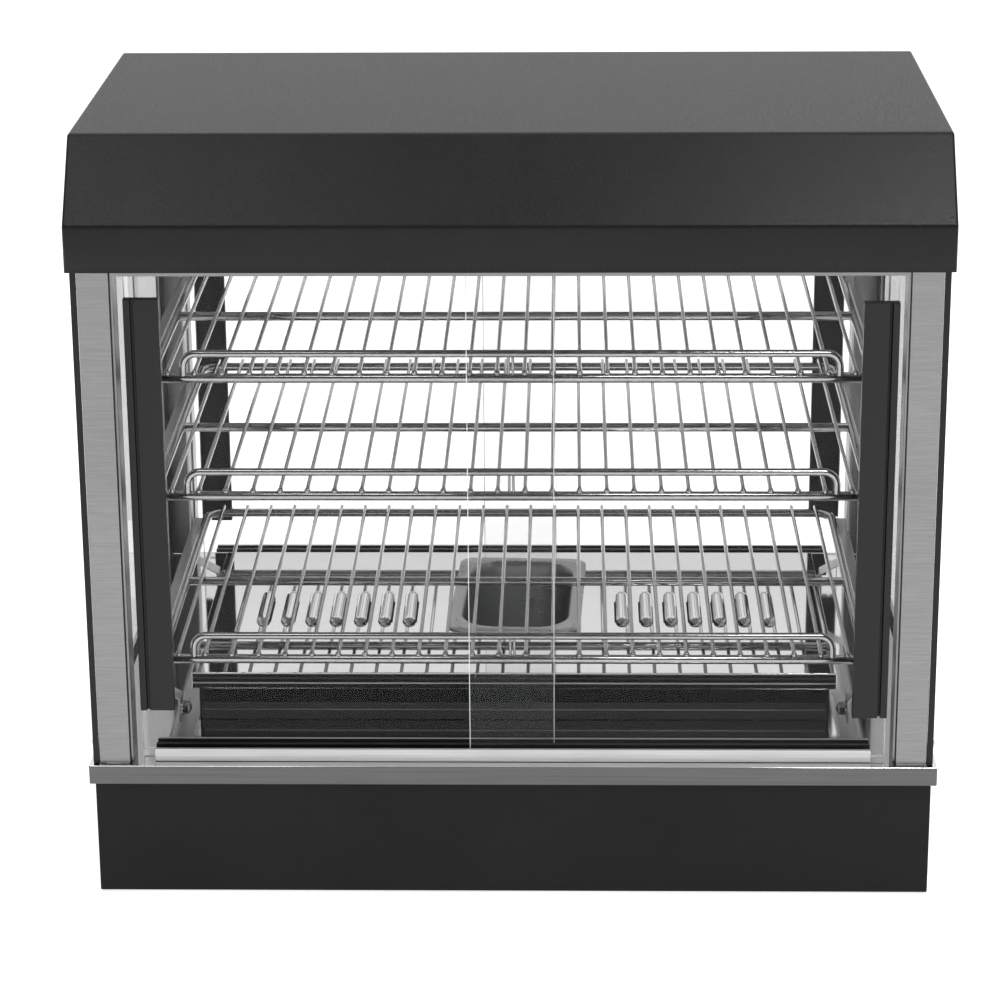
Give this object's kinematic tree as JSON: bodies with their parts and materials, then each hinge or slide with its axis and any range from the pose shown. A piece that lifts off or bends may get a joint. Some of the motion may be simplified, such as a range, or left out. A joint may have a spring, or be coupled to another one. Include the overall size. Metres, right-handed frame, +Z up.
{
  "type": "heated food display cabinet",
  "caption": "Countertop heated food display cabinet with a black sloped hood and base, glass sides, sliding glass doors front and rear, and chrome wire shelves.",
  "frame": {"origin": "middle of the footprint, on the surface that the feet stand on", "axes": "+X to the right seen from the customer side, -Y towards the customer, +Z up"},
  "size_m": [0.66, 0.487, 0.602],
  "materials": {
    "powder_black": "textured black powder coat",
    "galvanised": "dull zinc or metal sheath",
    "rubber": "black rubber",
    "brushed_steel": "brushed stainless, grain along the width",
    "polished_steel": "mirror polished stainless",
    "chrome_wire": "bright chrome plated wire",
    "fastener": "bright plated",
    "clear_glass": "clear tempered glass, ground edges",
    "black_metal": "black anodised aluminium, satin",
    "black_plastic": "black moulded plastic",
    "signal_lens": "amber-red lens",
    "ceramic": "white ceramic",
    "lamp_glass": "frosted bulb glass"
  },
  "bodies": {
    "cabinet": {"base_housing": "powder_black", "rear_control_panel": "powder_black", "hood_shell": "powder_black", "base_bottom_plate": "galvanised", "heating_element": "galvanised", "foot_front_left": "rubber", "foot_front_right": "rubber", "foot_rear_left": "rubber", "foot_rear_right": "rubber", "front_door_frame": "brushed_steel", "rear_door_frame": "brushed_steel", "rim_frame": "brushed_steel", "post_front_left": "brushed_steel", "post_front_right": "brushed_steel", "post_rear_left": "brushed_steel", "post_rear_right": "brushed_steel", "hood_liner": "brushed_steel", "side_rack_left": "brushed_steel", "side_rack_right": "brushed_steel", "heater_box": "polished_steel", "heater_cover_plate": "polished_steel", "front_bottom_track": "polished_steel", "rear_bottom_track": "polished_steel", "shelf_1": "chrome_wire", "shelf_2": "chrome_wire", "shelf_3": "chrome_wire", "rack_nut_front_left": "fastener", "rack_nut_front_right": "fastener", "rack_nut_rear_left": "fastener", "rack_nut_rear_right": "fastener", "glass_screw_front_left": "fastener", "glass_screw_front_right": "fastener", "glass_screw_rear_left": "fastener", "glass_screw_rear_right": "fastener", "side_glass_left": "clear_glass", "side_glass_right": "clear_glass", "power_switch_housing": "black_plastic", "light_switch_housing": "black_plastic", "cord_inlet_gland": "black_plastic", "terminal_block": "black_plastic", "indicator_lamp": "signal_lens", "thermostat_body": "ceramic", "lamp_holder_left": "ceramic", "lamp_holder_right": "ceramic", "lamp_left": "lamp_glass", "lamp_right": "lamp_glass"},
    "front_door_left": {"front_door_left_glass": "clear_glass", "front_door_left_handle": "black_metal"},
    "front_door_right": {"front_door_right_glass": "clear_glass", "front_door_right_handle": "black_metal"},
    "rear_door_left": {"rear_door_left_glass": "clear_glass", "rear_door_left_handle": "black_metal"},
    "rear_door_right": {"rear_door_right_glass": "clear_glass", "rear_door_right_handle": "black_metal"},
    "thermostat_knob": {"thermostat_knob": "black_plastic"},
    "power_rocker": {"power_rocker": "black_plastic"},
    "light_rocker": {"light_rocker": "black_plastic"},
    "water_pan": {"water_pan": "polished_steel"}
  },
  "joints": [
    {"name": "front_door_left_slide", "type": "slide", "parent": "cabinet", "child": "front_door_left", "axis": [1, 0, 0], "range_m": [0, 0.255]},
    {"name": "front_door_right_slide", "type": "slide", "parent": "cabinet", "child": "front_door_right", "axis": [1, 0, 0], "range_m": [-0.255, 0]},
    {"name": "rear_door_left_slide", "type": "slide", "parent": "cabinet", "child": "rear_door_left", "axis": [1, 0, 0], "range_m": [0, 0.255]},
    {"name": "rear_door_right_slide", "type": "slide", "parent": "cabinet", "child": "rear_door_right", "axis": [1, 0, 0], "range_m": [-0.255, 0]},
    {"name": "thermostat_knob_turn", "type": "hinge", "parent": "cabinet", "child": "thermostat_knob", "pos_m": [-0.215, 0.2275, 0.06], "axis": [0, 1, 0], "range_deg": [0, 280]},
    {"name": "power_rocker_press", "type": "hinge", "parent": "cabinet", "child": "power_rocker", "pos_m": [-0.14, 0.2262, 0.06], "axis": [1, 0, 0], "range_deg": [0, 16]},
    {"name": "light_rocker_press", "type": "hinge", "parent": "cabinet", "child": "light_rocker", "pos_m": [-0.1, 0.2262, 0.06], "axis": [1, 0, 0], "range_deg": [0, 16]},
    {"name": "water_pan_lift", "type": "slide", "parent": "cabinet", "child": "water_pan", "axis": [0, 0, 1], "range_m": [0, 0.02]}
  ]
}
